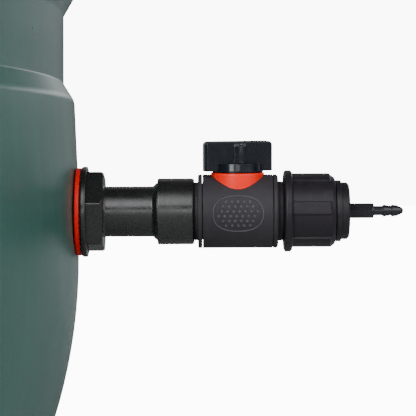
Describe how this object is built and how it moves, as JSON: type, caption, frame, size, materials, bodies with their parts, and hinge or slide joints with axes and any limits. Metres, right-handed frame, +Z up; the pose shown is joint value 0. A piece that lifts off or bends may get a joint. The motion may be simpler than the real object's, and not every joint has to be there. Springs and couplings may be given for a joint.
{
  "type": "rain barrel",
  "caption": "Round ribbed rainwater barrel with a pan lid, leaf screen, overflow spigot and a low outlet tap that ends in a barbed drip-line spigot.",
  "frame": {"origin": "middle of the barrel's flat base, on the floor, on the barrel's own vertical axis", "axes": "+Z up along the barrel's axis, +X out of the barrel along the outlet pipe, +Y completes the right-handed set"},
  "size_m": [0.794, 0.6, 0.898],
  "materials": {
    "green_polyethylene": "semi-gloss blow-moulded polyethylene",
    "black_fitting_plastic": "satin moulded",
    "charcoal_valve_plastic": "satin moulded",
    "blue_black_handle_plastic": "gloss moulded",
    "orange_collar_plastic": "satin moulded",
    "red_washer_rubber": "smooth",
    "black_seal_rubber": "matte",
    "white_seat_plastic": "smooth",
    "screen_wire_steel": "woven wire"
  },
  "bodies": {
    "barrel": {"barrel_shell": "green_polyethylene", "outer_washer": "red_washer_rubber", "inner_washer": "black_seal_rubber", "tank_connector": "black_fitting_plastic", "tank_back_nut": "black_fitting_plastic", "valve_body": "charcoal_valve_plastic", "valve_inlet_end": "charcoal_valve_plastic", "valve_outlet_end": "charcoal_valve_plastic", "inlet_o_ring": "black_seal_rubber", "outlet_o_ring": "black_seal_rubber", "inlet_seat": "white_seat_plastic", "outlet_seat": "white_seat_plastic", "stem_collar": "orange_collar_plastic", "overflow_spigot": "black_fitting_plastic", "overflow_washer": "black_seal_rubber", "overflow_back_nut": "black_fitting_plastic"},
    "lid": {"lid": "green_polyethylene"},
    "leaf_screen": {"leaf_screen_basket": "black_fitting_plastic", "leaf_screen_mesh": "screen_wire_steel", "leaf_screen_ring": "black_fitting_plastic"},
    "valve_handle": {"valve_knob": "blue_black_handle_plastic", "valve_stem": "black_fitting_plastic", "valve_ball": "white_seat_plastic", "stem_o_ring": "black_seal_rubber"},
    "outlet_tail": {"outlet_tail": "black_fitting_plastic", "outlet_flat_seal": "black_seal_rubber", "tail_collar": "black_fitting_plastic", "barb_connector": "black_fitting_plastic"},
    "swivel_nut": {"swivel_nut": "black_fitting_plastic"}
  },
  "joints": [
    {"name": "lid_lift", "type": "slide", "parent": "barrel", "child": "lid", "axis": [0, 0, 1], "range_m": [0, 0.12]},
    {"name": "screen_lift", "type": "slide", "parent": "lid", "child": "leaf_screen", "axis": [0, 0, 1], "range_m": [0, 0.09]},
    {"name": "handle_turn", "type": "hinge", "parent": "barrel", "child": "valve_handle", "pos_m": [0.3739, 0, 0.15], "axis": [0, -0.0645, 0.9979], "range_deg": [-17, 73]},
    {"name": "tail_draw", "type": "slide", "parent": "barrel", "child": "outlet_tail", "axis": [1, 0, 0], "range_m": [0, 0.0127]},
    {"name": "nut_turn", "type": "hinge", "parent": "outlet_tail", "child": "swivel_nut", "pos_m": [0.4, 0, 0.15], "axis": [1, 0, 0], "range_deg": [0, 2525]}
  ],
  "couplings": [
    {"joint": "nut_turn", "follows": "tail_draw", "rad_per_m": 3463.7}
  ]
}
